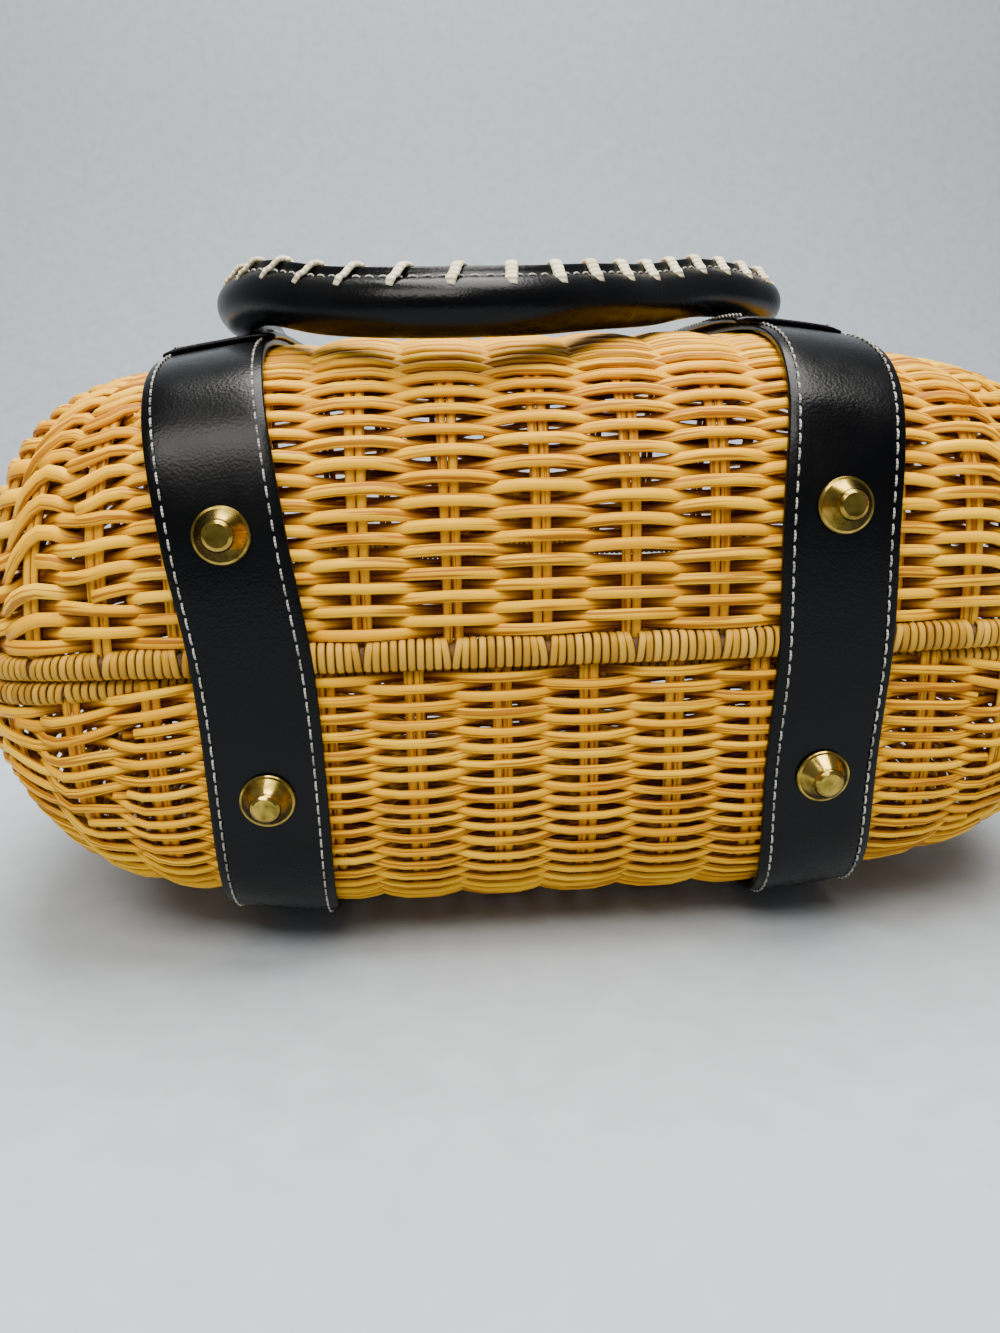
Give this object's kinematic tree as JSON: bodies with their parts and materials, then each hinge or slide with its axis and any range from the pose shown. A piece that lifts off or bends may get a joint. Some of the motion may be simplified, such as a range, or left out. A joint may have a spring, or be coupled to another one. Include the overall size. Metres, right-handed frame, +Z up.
{
  "type": "woven basket handbag",
  "caption": "Clamshell basket handbag: two woven bowls with wrapped rims, leather straps round the base, two rolled leather handles and metal feet.",
  "frame": {"origin": "on the surface that the bag lies on, below the centre of the bag's outline seen from above", "axes": "+X along the bag's length, +Y from its base with the feet towards its mouth, +Z up through the bag's thickness, from the lower woven bowl to the upper one"},
  "size_m": [0.304, 0.2702, 0.1728],
  "materials": {
    "wicker": "round reed, woven and varnished, honey gold",
    "cane": "split cane wrapped round the rims, duller tan",
    "leather": "smooth black leather with a polished finish",
    "brass": "polished, lightly worn"
  },
  "bodies": {
    "root": {"basket_upper": "wicker", "rim_upper": "cane", "basket_lower": "wicker", "rim_lower": "cane", "strap_left": "leather", "foot_upper_left": "brass", "foot_lower_left": "brass", "handle_tab_upper_left": "leather", "handle_tab_lower_left": "leather", "strap_right": "leather", "foot_upper_right": "brass", "foot_lower_right": "brass", "handle_tab_upper_right": "leather", "handle_tab_lower_right": "leather", "handle_upper": "leather", "handle_lower": "leather", "closing_strap": "leather"}
  },
  "joints": []
}
